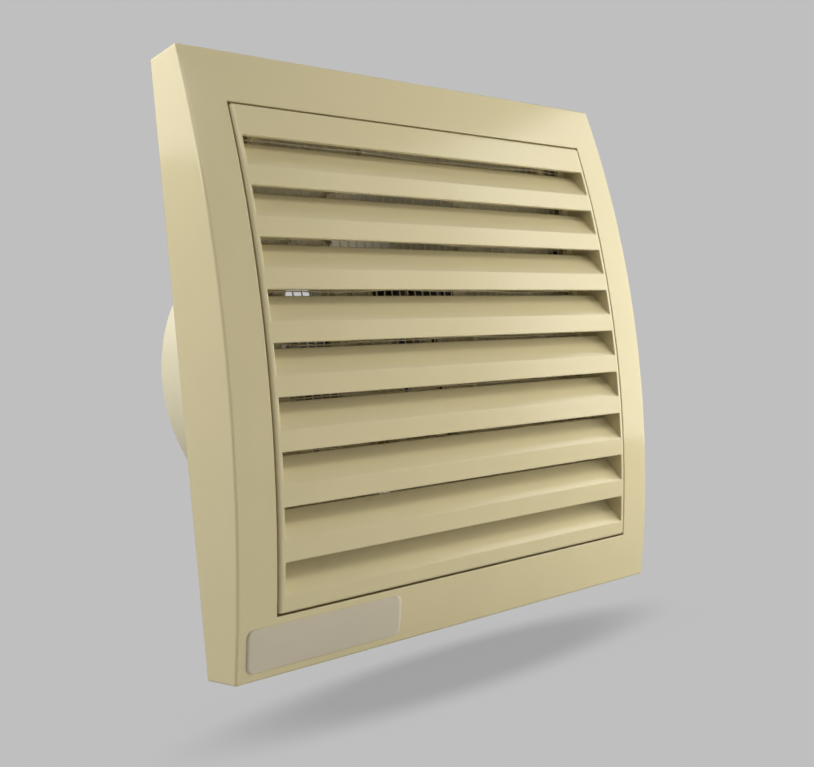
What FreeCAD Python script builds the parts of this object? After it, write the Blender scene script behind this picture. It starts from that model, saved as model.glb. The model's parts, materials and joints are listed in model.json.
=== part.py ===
"""Wall-mounted bathroom exhaust fan for a 100 mm duct, as a parametric FreeCAD document.

Frame: millimetres, origin on the duct axis in the plane of the wall. +X is to the right seen
from the room, +Y goes into the wall along the duct and +Z is up, so the front faces -Y.
"""
import FreeCAD
import Part
import Sketcher
import math
import os

# Driving dimensions in millimetres, and counts. Each goes into one cell of the spreadsheet.
SIZES = {
    # Front cover
    "cover_margin": 26.0,
    "cover_edge_depth": 12.0,
    "cover_crown_depth": 21.5,
    "cover_wall": 2.2,
    "cover_edge_round": 0.6,
    "side_border": 10.8,
    "end_border": 13.8,
    "collar_wall": 1.5,
    "ledge_width": 1.8,
    "ledge_thickness": 2.0,
    "tab_size": 13.0,
    "tab_thickness": 3.5,
    "tab_screw_inset": 6.5,
    # Louvre grille and net
    "grille_gap": 0.5,
    "grille_proud": 0.4,
    "grille_round": 0.8,
    "grille_wall": 1.5,
    "grille_seat_clearance": 0.3,
    "top_band": 8.0,
    "bottom_band": 4.0,
    "recess_height": 7.7,
    "louvre_count": 9,
    "louvre_run": 5.5,
    "louvre_slit": 0.8,
    "louvre_thickness": 1.5,
    "leg_width": 8.0,
    "leg_length": 4.5,
    "leg_offset": 30.0,
    "leg_side_clearance": 0.6,
    "net_frame_width": 2.5,
    "net_frame_thickness": 1.0,
    "net_frame_clearance": 0.1,
    "net_thickness": 0.4,
    "net_wire": 0.9,
    "net_columns": 17,
    "net_rows": 16,
    # Base plate, spigot and motor spider
    "base_clearance": 0.4,
    "base_thickness": 2.5,
    "base_corner": 2.0,
    "rim_wall": 1.6,
    "rim_height": 4.0,
    "duct_diameter": 98.0,
    "duct_length": 58.5,
    "duct_wall": 1.8,
    "duct_seat_step": 0.6,
    "duct_flange_width": 2.5,
    "duct_flange_thickness": 1.5,
    "duct_end_chamfer": 0.8,
    "inlet_round": 1.6,
    "rib_thickness": 1.5,
    "rib_height": 1.5,
    "rib_spacing": 30.0,
    "hub_set_back": 2.5,
    "hub_margin": 5.75,
    "hub_thickness": 2.5,
    "hub_rim_wall": 1.6,
    "hub_rim_height": 2.0,
    "arm_root_width": 11.0,
    "arm_tip_width": 7.0,
    "arm_depth": 5.0,
    "boss_radius": 3.5,
    "wall_hole_radius": 2.25,
    "wall_hole_inset": 6.5,
    # Cover screws
    "cover_screw_radius": 1.45,
    "cover_screw_head_radius": 2.7,
    "cover_screw_head_height": 1.6,
    "cover_screw_sink": 0.3,
    "screw_hole_clearance": 0.15,
    "screw_floor": 0.8,
    # Motor
    "stack_length": 12.0,
    "stack_half_width": 22.0,
    "stack_top": 16.5,
    "stack_corner": 4.0,
    "leg_of_stack": 9.0,
    "pole_bottom": 14.5,
    "core_height": 9.0,
    "core_drop": 31.0,
    "pole_notch_width": 4.0,
    "pole_bridge": 1.7,
    "rotor_radius": 11.0,
    "air_gap": 0.5,
    "shading_bar": 1.5,
    "shading_clearance": 0.3,
    "shading_height": 9.0,
    "bobbin_wall": 1.0,
    "bobbin_clearance": 0.1,
    "bobbin_flange": 1.2,
    "bobbin_flange_height": 4.4,
    "bobbin_end_gap": 0.2,
    "winding_drop": 0.6,
    "winding_corner": 3.0,
    "bracket_depth": 7.5,
    "bracket_bar": 2.5,
    "bracket_half_width": 6.5,
    "bracket_half_length": 21.5,
    "bracket_leg": 7.5,
    "bracket_round": 3.0,
    "bearing_boss_radius": 6.5,
    "bush_radius": 4.5,
    "bush_length": 6.2,
    "bush_clearance": 0.03,
    "motor_screw_radius": 1.5,
    "motor_screw_offset": 17.5,
    "motor_screw_head_radius": 2.75,
    "motor_screw_head_height": 2.2,
    "motor_nut_flats": 5.5,
    "motor_nut_height": 2.4,
    "motor_screw_end": 0.6,
    "shaft_radius": 2.0,
    "shaft_chamfer": 0.4,
    "end_ring_radius": 10.4,
    "end_ring_bore": 5.0,
    "end_ring_thickness": 1.5,
    "washer_thickness": 1.3,
    "washer_radius": 4.6,
    "end_play": 0.1,
    # Impeller
    "impeller_gap": 2.0,
    "impeller_depth": 16.0,
    "impeller_hub_radius": 20.0,
    "impeller_wall": 2.0,
    "impeller_nose": 2.2,
    "impeller_nose_round": 3.0,
    "impeller_boss_radius": 5.5,
    "impeller_boss_set_back": 0.5,
    "tip_clearance": 1.8,
    "blade_count": 7,
    "blade_root_axial": 11.5,
    "blade_root_swing": 9.0,
    "blade_root_thickness": 2.4,
    "blade_tip_axial": 8.0,
    "blade_tip_swing": 24.0,
    "blade_tip_thickness": 1.6,
    "blade_camber_radius": 38.0,
    "clip_wall": 1.0,
    "clip_width": 3.0,
    "clip_set_back": 0.6,
    # Terminal block and wiring
    "terminal_half_width": 11.0,
    "terminal_height": 15.0,
    "terminal_depth": 9.5,
    "terminal_bottom": 5.0,
    "terminal_pole_offset": 6.0,
    "terminal_axis_depth": 4.8,
    "terminal_tube_radius": 2.4,
    "terminal_tube_bore": 1.5,
    "terminal_tube_inset": 1.0,
    "terminal_screw_radius": 1.3,
    "terminal_screw_spacing": 8.0,
    "terminal_screw_sink": 0.8,
    "terminal_well_clearance": 0.2,
    "terminal_slot_width": 0.6,
    "terminal_slot_depth": 0.8,
    "fixing_screw_radius": 1.25,
    "fixing_head_radius": 2.6,
    "fixing_head_height": 1.8,
    "fixing_seat": 5.5,
    "fixing_screw_length": 8.5,
    "wire_radius": 0.8,
    "wire_bend": 4.8,
    "wire_drop": 20.0,
    "wire_hole_clearance": 0.7,
    "wire_insertion": 3.0,
    # Cable entry
    "entry_height": 24.0,
    "grommet_neck_radius": 4.5,
    "grommet_flange_radius": 5.8,
    "grommet_flange_thickness": 1.5,
    "grommet_bore_radius": 2.75,
    "clamp_height": 10.0,
    "clamp_end_margin": 1.7,
    "clamp_half_width": 3.0,
    "clamp_thickness": 1.2,
    "clamp_arch_half_width": 2.6,
    "clamp_cover_gap": 0.3,
    "clamp_boss_wall": 0.6,
    "clamp_boss_height": 1.3,
    "clamp_screw_radius": 1.1,
    "clamp_head_clearance": 0.2,
    "clamp_head_radius": 1.7,
    "clamp_head_height": 1.4,
}
QUARTER_TURN = 90.0
ARM_ANGLE = 45.0
ARM_COUNT = 4
# How far a rib, slat or arm reaches into the wall that it joins, and how far a cut runs past
# the face that it opens.
FUSE = 0.3
PAST = 1.0


class Dim:
    """A length held as a number and as the spreadsheet expression that drives it."""

    def __init__(self, value, text):
        self.value = float(value)
        self.text = text

    @staticmethod
    def of(item):
        """Take a Dim as it is, and a plain number as a constant."""
        if isinstance(item, Dim):
            return item
        return Dim(item, f"({float(item):.6f})")

    def _join(self, other, sign, value):
        return Dim(value, f"({self.text} {sign} {Dim.of(other).text})")

    def __add__(self, other):
        return self._join(other, "+", self.value + Dim.of(other).value)

    def __sub__(self, other):
        return self._join(other, "-", self.value - Dim.of(other).value)

    def __mul__(self, other):
        return self._join(other, "*", self.value * Dim.of(other).value)

    def __truediv__(self, other):
        return self._join(other, "/", self.value / Dim.of(other).value)

    def __radd__(self, other):
        return Dim.of(other) + self

    def __rsub__(self, other):
        return Dim.of(other) - self

    def __rmul__(self, other):
        return Dim.of(other) * self

    def __neg__(self):
        return Dim(-self.value, f"(-{self.text})")

    def root(self):
        """Return the square root."""
        return Dim(math.sqrt(self.value), f"sqrt({self.text})")


doc = FreeCAD.newDocument("exhaust_fan")
sheet = doc.addObject("Spreadsheet::Sheet", "Sizes")
for row, (alias, number) in enumerate(SIZES.items(), start=1):
    sheet.set(f"A{row}", alias.replace("_", " "))
    sheet.set(f"B{row}", str(number))
    sheet.setAlias(f"B{row}", alias)
doc.recompute()

pieces = []


def size(alias):
    """Read a driving dimension back from the sheet."""
    return Dim(getattr(sheet, alias), f"Sizes.{alias}")


def count(alias):
    """Read a count back from the sheet."""
    return int(getattr(sheet, alias))


def new_body(label):
    """Start a PartDesign body that becomes a sub-part of its own."""
    body = doc.addObject("PartDesign::Body", label)
    body.Label = label
    pieces.append(body)
    return body


class Profile:
    """A sketch on an origin plane of its body, with every point held by driven constraints.

    On XZ the sketch axes are X and Z, on YZ they are Y and Z, and on XY they are X and Y.
    """

    # A plane's normal points along this share of the axis that it is set out on.
    NORMAL_SIGN = {"XY": 1, "XZ": -1, "YZ": 1}

    def __init__(self, body, plane, at=0.0, turn=0.0):
        origin_plane = next(f for f in body.Origin.OriginFeatures if f.Role == f"{plane}_Plane")
        self.sketch = body.newObject("Sketcher::SketchObject", f"{body.Name}_sketch")
        self.sketch.AttachmentSupport = [(origin_plane, "")]
        self.sketch.MapMode = "FlatFace"
        shift = Dim.of(at) * self.NORMAL_SIGN[plane]
        self.sketch.AttachmentOffset = FreeCAD.Placement(
            FreeCAD.Vector(0, 0, shift.value), FreeCAD.Rotation(FreeCAD.Vector(0, 0, 1), turn))
        self.sketch.setExpression("AttachmentOffset.Base.z", shift.text)
        self.drivers = []

    def _drive(self, constraint, dim):
        index = self.sketch.addConstraint(constraint)
        name = f"driver{len(self.drivers)}"
        self.sketch.renameConstraint(index, name)
        self.drivers.append((name, dim.text))

    def _place(self, geometry, vertex, point):
        for kind, dim in zip(("DistanceX", "DistanceY"), point):
            self._drive(Sketcher.Constraint(kind, -1, 1, geometry, vertex, dim.value), dim)

    def outline(self, points, arcs=None):
        """Draw a closed outline through points, with the numbered edges bent into arcs.

        An arc is given as (radius, side), where side 1 bulges to the left of its edge.
        """
        arcs = arcs or {}
        points = [(Dim.of(u), Dim.of(v)) for u, v in points]
        places = [FreeCAD.Vector(u.value, v.value, 0) for u, v in points]
        ends = []
        for index, start in enumerate(places):
            stop = places[(index + 1) % len(places)]
            edge = Part.LineSegment(start, stop)
            if index in arcs:
                radius, side = arcs[index]
                chord = stop - start
                left = FreeCAD.Vector(-chord.y, chord.x, 0).normalize() * side
                sag = radius.value - math.sqrt(radius.value ** 2 - (chord.Length / 2) ** 2)
                edge = Part.Arc(start, (start + stop) * 0.5 + left * sag, stop)
            geometry = self.sketch.addGeometry(edge)
            forward = (self.sketch.getPoint(geometry, 1) - start).Length < 1e-6
            ends.append((geometry, 1, 2) if forward else (geometry, 2, 1))
        for index, (geometry, first, last) in enumerate(ends):
            following, opening, _ = ends[(index + 1) % len(ends)]
            self.sketch.addConstraint(
                Sketcher.Constraint("Coincident", geometry, last, following, opening))
        for index, (geometry, first, last) in enumerate(ends):
            self._place(geometry, first, points[index])
            if index in arcs:
                radius = Dim.of(arcs[index][0])
                self._drive(Sketcher.Constraint("Radius", geometry, radius.value), radius)
        return self

    def rectangle(self, left, right, low, high):
        """Draw an upright rectangle between two columns and two rows."""
        return self.outline([(left, low), (right, low), (right, high), (left, high)])

    def frame(self, half_width, half_height):
        """Draw a rectangle centred on the sketch's origin."""
        return self.rectangle(-half_width, half_width, -half_height, half_height)

    def circle(self, across, up, radius):
        """Draw a circle."""
        across, up, radius = Dim.of(across), Dim.of(up), Dim.of(radius)
        centre = FreeCAD.Vector(across.value, up.value, 0)
        geometry = self.sketch.addGeometry(
            Part.Circle(centre, FreeCAD.Vector(0, 0, 1), radius.value))
        self._place(geometry, 3, (across, up))
        self._drive(Sketcher.Constraint("Radius", geometry, radius.value), radius)
        return self

    def bind(self):
        """Tie the constraints to the sheet and hand the sketch over."""
        for name, text in self.drivers:
            self.sketch.setExpression(f"Constraints.{name}", text)
        return self.sketch


def feature(body, kind, profile, length=None):
    """Add a sketch-based feature, recompute it, and see that it changed the body."""
    before = 0.0 if body.Tip is None else body.Tip.Shape.Volume
    made = body.newObject(f"PartDesign::{kind}", f"{body.Name}_{kind.lower()}")
    made.Profile = profile.bind()
    if length is None:
        made.ReferenceAxis = (made.Profile[0], ["V_Axis"])
        made.Angle = 360.0
    else:
        made.setExpression("Length", length.text)
    doc.recompute()
    if abs(made.Shape.Volume - before) < 1e-3:
        raise RuntimeError(f"{made.Name} changes nothing")
    return made


def pad(body, plane, low, high, draw):
    """Add material between two stations of the axis that the plane is square to."""
    start = high if plane == "XZ" else low
    return feature(body, "Pad", draw(Profile(body, plane, start)), Dim.of(high) - low)


def cut(body, plane, low, high, draw):
    """Remove material between two stations of the axis that the plane is square to."""
    start = low if plane == "XZ" else high
    return feature(body, "Pocket", draw(Profile(body, plane, start)), Dim.of(high) - low)


def turned(body, kind, *sections):
    """Revolve or groove outlines of (radius, y) about the duct axis."""
    profile = Profile(body, "XY")
    for section in sections:
        profile.outline(section)
    return feature(body, kind, profile)


def ring(inner, outer, low, high):
    """Give the section of a ring about the duct axis."""
    return [(inner, low), (outer, low), (outer, high), (inner, high)]


def around(body, features, number):
    """Repeat features about the duct axis."""
    axis = next(f for f in body.Origin.OriginFeatures if f.Role == "Y_Axis")
    pattern = body.newObject("PartDesign::PolarPattern", f"{body.Name}_polar")
    pattern.Originals = features
    pattern.Axis = (axis, [""])
    pattern.Angle = 360.0
    pattern.Occurrences = number
    body.Tip = pattern
    doc.recompute()


def dress(body, kind, radius, chosen):
    """Fillet or chamfer the edges of the body for which chosen(edge) holds."""
    names = [f"Edge{i}" for i, edge in enumerate(body.Tip.Shape.Edges, start=1) if chosen(edge)]
    made = body.newObject(f"PartDesign::{kind}", f"{body.Name}_{kind.lower()}")
    made.Base = (made.BaseFeature, names)
    made.setExpression("Radius" if kind == "Fillet" else "Size", radius.text)
    doc.recompute()


def all_at(edge, axis, station):
    """Tell whether an edge lies wholly at one station of an axis."""
    box = edge.BoundBox
    return max(abs(getattr(box, f"{axis}Min") - station.value),
               abs(getattr(box, f"{axis}Max") - station.value)) < 1e-3


def group(label, pattern_body, places):
    """Make one sub-part of separate solids, one copy of the body at each (x, z) place."""
    links = []
    for number, (across, up) in enumerate(places):
        link = doc.addObject("App::Link", f"{label}_{number}")
        link.LinkedObject = pattern_body
        link.LinkTransform = True
        link.Placement = FreeCAD.Placement(
            FreeCAD.Vector(across.value, 0, up.value), FreeCAD.Rotation())
        link.setExpression("Placement.Base.x", across.text)
        link.setExpression("Placement.Base.z", up.text)
        links.append(link)
    compound = doc.addObject("Part::Compound", label)
    compound.Label = label
    compound.Links = links
    pieces.remove(pattern_body)
    pieces.append(compound)


def corners(across, up):
    """Give the four places that mirror one corner."""
    return [(across * i, up * j) for i in (-1, 1) for j in (-1, 1)]


# Values that several pieces share
zero = Dim.of(0)
duct_radius = size("duct_diameter") / 2
cover_half = duct_radius + size("cover_margin")
opening_half_width = cover_half - size("side_border")
opening_half_height = cover_half - size("end_border")
crown_rise = size("cover_crown_depth") - size("cover_edge_depth")
front_radius = (cover_half * cover_half + crown_rise * crown_rise) / (2 * crown_rise)
front_centre = front_radius - size("cover_crown_depth")
grille_half_width = opening_half_width - size("grille_gap")
grille_half_height = opening_half_height - size("grille_gap")
grille_radius = front_radius + size("grille_proud")


def arc_depth(radius, height):
    """Give y on an arc about the front's centre line, at a height."""
    return front_centre - (radius * radius - height * height).root()


# Planes along Y, from the room to the end of the duct
blade_limit = arc_depth(front_radius, opening_half_height) - size("grille_proud") + size("louvre_run")
grille_rear = blade_limit + size("net_frame_thickness")
ledge_front = grille_rear + size("grille_seat_clearance")
ledge_rear = ledge_front + size("ledge_thickness")
tab_front = grille_rear + size("net_thickness") + size("grille_seat_clearance")
tab_rear = tab_front + size("tab_thickness")
cover_screw_seat = tab_front + size("cover_screw_sink") + size("cover_screw_head_height")
base_front = -size("base_thickness")
hub_front = size("hub_set_back")
hub_rear = hub_front + size("hub_thickness")
stack_front = hub_rear + size("bracket_depth")
stack_rear = stack_front + size("stack_length")
bracket_rear = stack_rear + size("bracket_depth")
impeller_front = bracket_rear + size("motor_screw_head_height") + size("impeller_gap")
impeller_rear = impeller_front + size("impeller_depth")
impeller_boss_front = impeller_front + size("impeller_boss_set_back")
bush_reach = size("end_ring_thickness") + size("washer_thickness") + size("end_play")
front_bush_rear = stack_front - bush_reach
front_bush_front = front_bush_rear - size("bush_length")
rear_bush_front = stack_rear + bush_reach
rear_bush_rear = rear_bush_front + size("bush_length")
coil_half_y = (size("stack_length") / 2 + size("bobbin_clearance") + size("bobbin_wall")
               + size("bobbin_flange_height") - size("winding_drop"))
coil_front = (stack_front + stack_rear) / 2 - coil_half_y
terminal_front = hub_front - size("terminal_depth")
terminal_axis = hub_front - size("terminal_axis_depth")

# Radii and places
duct_bore = duct_radius - size("duct_wall")
duct_seat = duct_radius + size("duct_seat_step")
base_half = cover_half - size("cover_wall") - size("base_clearance")
cover_screw_places = corners(opening_half_width - size("tab_screw_inset"),
                             opening_half_height - size("tab_screw_inset"))
motor_screw_places = [(-size("motor_screw_offset"), zero), (size("motor_screw_offset"), zero)]
motor_screw_hole = size("motor_screw_radius") + size("screw_hole_clearance")
hub_radius = size("motor_screw_offset") + size("motor_nut_flats") / 2 + size("hub_margin")
stack_bore = size("rotor_radius") + size("air_gap")
terminal_top = size("terminal_bottom") + size("terminal_height")
terminal_middle = size("terminal_bottom") + size("terminal_height") / 2
terminal_screw_places = [(size("terminal_pole_offset") * i,
                          terminal_middle + size("terminal_screw_spacing") / 2 * j)
                         for i in (-1, 1) for j in (-1, 1)]
wire_places = [(size("terminal_pole_offset") * i, -size("wire_drop")) for i in (-1, 1)]
duct_flange = duct_radius + size("duct_flange_width")
entry_side = (duct_flange + base_half - size("rim_wall")) / 2
clamp_screw_offset = (size("clamp_arch_half_width") + size("clamp_thickness")
                      + size("clamp_head_radius") + size("clamp_head_clearance"))
clamp_places = [(entry_side + clamp_screw_offset * i, size("clamp_height"))
                for i in (-1, 1)]
clamp_seat = base_front - size("clamp_boss_height")


def dots(places, radius):
    """Make a drawing of equal circles at several places."""
    def draw(profile):
        for across, up in places:
            profile.circle(across, up, radius)
        return profile
    return draw


def build_front_cover():
    """Square cover with a curved front, hollow behind, with a seat for the grille."""
    body = new_body("front_cover")
    edge_depth = size("cover_edge_depth")
    pad(body, "YZ", -cover_half, cover_half, lambda p: p.outline(
        [(zero, -cover_half), (zero, cover_half),
         (-edge_depth, cover_half), (-edge_depth, -cover_half)], {2: (front_radius, -1)}))
    dress(body, "Fillet", size("cover_edge_round"), lambda edge: not all_at(edge, "Y", zero))

    wall = size("cover_wall")
    inner_radius = front_radius - wall
    inner_half = cover_half - wall
    inner_edge = arc_depth(inner_radius, inner_half)
    cut(body, "YZ", -inner_half, inner_half, lambda p: p.outline(
        [(Dim.of(PAST), -inner_half), (Dim.of(PAST), inner_half),
         (inner_edge, inner_half), (inner_edge, -inner_half)], {2: (inner_radius, -1)}))

    # Collar behind the opening, trimmed to the curve of the front
    collar_half_width = opening_half_width + size("collar_wall")
    collar_half_height = opening_half_height + size("collar_wall")
    pad(body, "XZ", -size("cover_crown_depth"), ledge_rear,
        lambda p: p.frame(collar_half_width, collar_half_height))
    trim_height = collar_half_height + PAST
    trim_edge = arc_depth(front_radius, trim_height)
    trim_front = -size("cover_crown_depth") - PAST
    cut(body, "YZ", -collar_half_width - PAST, collar_half_width + PAST, lambda p: p.outline(
        [(trim_front, trim_height), (trim_edge, trim_height),
         (trim_edge, -trim_height), (trim_front, -trim_height)], {1: (front_radius, -1)}))
    cut(body, "XZ", trim_front, ledge_front,
        lambda p: p.frame(opening_half_width, opening_half_height))
    cut(body, "XZ", ledge_front - PAST, ledge_rear + PAST,
        lambda p: p.frame(opening_half_width - size("ledge_width"),
                          opening_half_height - size("ledge_width")))

    # Notches in the ledge for the legs of the grille
    notch_half = size("leg_width") / 2 + size("leg_side_clearance")

    def notches(profile):
        inner = opening_half_width - size("ledge_width") - FUSE
        for up in (-size("leg_offset"), size("leg_offset")):
            profile.rectangle(inner, opening_half_width, up - notch_half, up + notch_half)
            profile.rectangle(-opening_half_width, -inner, up - notch_half, up + notch_half)
        return profile
    cut(body, "XZ", ledge_front - PAST, ledge_rear + PAST, notches)

    # Corner tabs that take the cover screws
    def tabs(profile):
        for i in (-1, 1):
            for j in (-1, 1):
                near = ((opening_half_width - size("tab_size")) * i,
                        (opening_half_height - size("tab_size")) * j)
                far = (collar_half_width * i, collar_half_height * j)
                profile.outline([near, (far[0], near[1]), far, (near[0], far[1])])
        return profile
    pad(body, "XZ", tab_front, tab_rear, tabs)
    hole = size("cover_screw_radius") + size("screw_hole_clearance")
    cut(body, "XZ", ledge_front - PAST, tab_rear + PAST, dots(cover_screw_places, hole))
    head_hole = size("cover_screw_head_radius") + size("screw_hole_clearance")
    cut(body, "XZ", ledge_front - PAST, cover_screw_seat, dots(cover_screw_places, head_hole))


def slat_outlines(profile):
    """Draw the top band and the sloped slats of the grille as side profiles."""
    thick = size("louvre_thickness")
    run = size("louvre_run")
    rise = size("recess_height") - size("louvre_slit")
    slope = (run * run + rise * rise).root()
    first_slit = grille_half_height - size("top_band")
    slits = count("louvre_count")
    pitch = (2 * grille_half_height - size("top_band") - size("recess_height")
             - size("bottom_band")) / (slits - 1)
    top = grille_half_height - size("grille_wall") + FUSE
    upper, lower = arc_depth(grille_radius, top), arc_depth(grille_radius, first_slit)
    profile.outline([(upper, top), (lower, first_slit),
                     (lower + thick, first_slit), (upper + thick, top)], {0: (grille_radius, -1)})
    for index in range(slits):
        crease = first_slit - pitch * index - size("recess_height")
        last = index == slits - 1
        foot = -top if last else first_slit - pitch * (index + 1)
        crease_y, foot_y = arc_depth(grille_radius, crease), arc_depth(grille_radius, foot)
        back_y, back_z = crease_y + run, crease + rise
        under_y, under_z = back_y + thick * rise / slope, back_z - thick * run / slope
        bend_y = crease_y + thick
        bend_z = under_z - (under_y - bend_y) * rise / run
        profile.outline([(crease_y, crease), (foot_y, foot), (foot_y + thick, foot),
                         (bend_y, bend_z), (under_y, under_z), (back_y, back_z)],
                        {0: (grille_radius, -1)})
    return profile


def build_louvre_grille():
    """Clip-in grille: a skirt with a curved front edge, nine slits between sloped slats."""
    body = new_body("louvre_grille")
    wide, high = grille_half_width, grille_half_height
    edge_y = arc_depth(grille_radius, high)
    pad(body, "YZ", -wide, wide, lambda p: p.outline(
        [(grille_rear, -high), (grille_rear, high), (edge_y, high), (edge_y, -high)],
        {2: (grille_radius, -1)}))
    dress(body, "Fillet", size("grille_round"), lambda edge: not all_at(edge, "Y", grille_rear))
    inner_wide, inner_high = wide - size("grille_wall"), high - size("grille_wall")
    cut(body, "XZ", arc_depth(grille_radius, zero) - PAST, grille_rear + PAST,
        lambda p: p.frame(inner_wide, inner_high))
    pad(body, "YZ", -inner_wide - FUSE, inner_wide + FUSE, slat_outlines)

    def legs(profile):
        half = size("leg_width") / 2
        for up in (-size("leg_offset"), size("leg_offset")):
            profile.rectangle(inner_wide, wide, up - half, up + half)
            profile.rectangle(-wide, -inner_wide, up - half, up + half)
        return profile
    pad(body, "XZ", grille_rear, grille_rear + size("leg_length"), legs)


def build_net():
    """Insect net as one holed sheet, and the ring that it lies on inside the skirt."""
    wide = grille_half_width - size("grille_wall") - size("net_frame_clearance")
    high = grille_half_height - size("grille_wall") - size("net_frame_clearance")
    rim = size("net_frame_width")
    frame = new_body("net_frame")
    pad(frame, "XZ", blade_limit, grille_rear,
        lambda p: p.frame(wide, high).frame(wide - rim, high - rim))

    def square(low_x, high_x, low_z, high_z):
        corner_points = [(low_x, low_z), (high_x, low_z), (high_x, high_z), (low_x, high_z)]
        return Part.makePolygon([FreeCAD.Vector(x, 0, z) for x, z in corner_points]
                                + [FreeCAD.Vector(low_x, 0, low_z)])

    wire, columns, rows = size("net_wire").value, count("net_columns"), count("net_rows")
    field_wide, field_high = (wide - rim).value, (high - rim).value
    step_x = (2 * field_wide + wire) / columns
    step_z = (2 * field_high + wire) / rows
    wires = [square(-wide.value, wide.value, -high.value, high.value)]
    for column in range(columns):
        left = -field_wide + column * step_x
        for level in range(rows):
            low = -field_high + level * step_z
            wires.append(square(left, left + step_x - wire, low, low + step_z - wire))
    holed = Part.makeFace(wires, "Part::FaceMakerBullseye")
    net = doc.addObject("Part::Feature", "insect_net")
    net.Label = "insect_net"
    net.Shape = holed.extrude(FreeCAD.Vector(0, size("net_thickness").value, 0))
    net.Placement = FreeCAD.Placement(
        FreeCAD.Vector(0, grille_rear.value, 0), FreeCAD.Rotation())
    pieces.append(net)


def rounded(half_width, half_height, corner, centre_u=zero, centre_v=zero):
    """Give the points and arcs of a rectangle with rounded corners."""
    points, arcs = [], {}
    for i, j, flip in ((1, -1, 0), (1, 1, 1), (-1, 1, 0), (-1, -1, 1)):
        side_u, side_v = centre_u + half_width * i, centre_v + half_height * j
        pair = [(side_u - corner * i, side_v), (side_u, side_v - corner * j)]
        arcs[len(points)] = (corner, -1)
        points += pair[::-1] if flip else pair
    return points, arcs


def build_base_plate():
    """Square base plate with low ribs, bosses and holes, and the rim that stands round it."""
    points, arcs = rounded(base_half, base_half, size("base_corner"))
    rim_half = base_half - size("rim_wall")
    inner_points, inner_arcs = rounded(rim_half, rim_half, size("base_corner") / 2)
    rim = new_body("base_rim")
    pad(rim, "XZ", base_front - size("rim_height"), base_front,
        lambda p: p.outline(points, arcs).outline(inner_points, inner_arcs))
    body = new_body("base_plate")
    pad(body, "XZ", base_front, zero, lambda p: p.outline(points, arcs))
    cut(body, "XZ", base_front - PAST, Dim.of(PAST), lambda p: p.circle(zero, zero, duct_seat))

    # Low stiffening ribs from the spigot to the rim, left, above and below
    def ribs(profile):
        half = size("rib_thickness") / 2
        near = duct_flange
        for offset in (-size("rib_spacing") / 2, size("rib_spacing") / 2):
            low, high = offset - half, offset + half
            profile.rectangle(-rim_half, -near, low, high)
            profile.rectangle(low, high, near, rim_half)
            profile.rectangle(low, high, -rim_half, -near)
        return profile
    pad(body, "XZ", base_front - size("rib_height"), base_front, ribs)

    pad(body, "XZ", tab_rear, base_front, dots(cover_screw_places, size("boss_radius")))
    cut(body, "XZ", tab_rear - PAST, -size("screw_floor"),
        dots(cover_screw_places, size("cover_screw_radius")))
    pad(body, "XZ", clamp_seat, base_front,
        dots(clamp_places, size("clamp_screw_radius") + size("clamp_boss_wall")))
    cut(body, "XZ", clamp_seat - PAST, -size("screw_floor"),
        dots(clamp_places, size("clamp_screw_radius")))
    wall_hole_side = base_half - size("wall_hole_inset")
    cut(body, "XZ", base_front - PAST, Dim.of(PAST),
        dots(corners(wall_hole_side, wall_hole_side), size("wall_hole_radius")))
    cut(body, "XZ", base_front - PAST, Dim.of(PAST),
        dots([(entry_side, size("entry_height"))], size("grommet_neck_radius")))


def build_duct_spigot():
    """Round spigot, pushed through the plate until its flange lies on the plate's front."""
    body = new_body("duct_spigot")
    front = base_front - size("duct_flange_thickness")
    end = size("duct_length")
    turned(body, "Revolution", [
        (duct_bore, front), (duct_flange, front), (duct_flange, base_front),
        (duct_seat, base_front),
        (duct_seat, zero), (duct_radius, zero), (duct_radius, end), (duct_bore, end)])
    dress(body, "Chamfer", size("duct_end_chamfer"),
          lambda edge: all_at(edge, "Y", end)
          and abs(edge.BoundBox.XMax - duct_radius.value) < 1e-3)
    dress(body, "Fillet", size("inlet_round"),
          lambda edge: all_at(edge, "Y", front)
          and abs(edge.BoundBox.XMax - duct_bore.value) < 1e-3)


def build_motor_carrier():
    """Four-armed spider that carries the motor, with its arms on the wall of the spigot."""
    body = new_body("motor_carrier")
    arm_rear = hub_front + size("arm_depth")
    root, tip = size("arm_root_width") / 2, size("arm_tip_width") / 2
    start = hub_radius - size("hub_rim_wall")
    stop = (duct_bore * duct_bore - tip * tip).root()
    pad(body, "XZ", hub_front, hub_rear, lambda p: p.circle(zero, zero, hub_radius))
    arm_profile = Profile(body, "XZ", arm_rear, ARM_ANGLE).outline(
        [(start, -root), (stop, -tip), (stop, tip), (start, root)])
    arm = feature(body, "Pad", arm_profile, size("arm_depth"))
    around(body, [arm], ARM_COUNT)
    pad(body, "XZ", hub_front - size("hub_rim_height"), hub_front,
        lambda p: p.circle(zero, zero, hub_radius).circle(zero, zero, start))
    boss_hole = size("bearing_boss_radius") + size("screw_hole_clearance")
    fixing_place = [(zero, terminal_middle)]
    for places, radius in (([(zero, zero)], boss_hole),
                           (motor_screw_places, motor_screw_hole),
                           (wire_places, size("wire_radius") + size("wire_hole_clearance")),
                           (fixing_place, size("fixing_screw_radius"))):
        cut(body, "XZ", hub_front - PAST, hub_rear + PAST, dots(places, radius))


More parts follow.
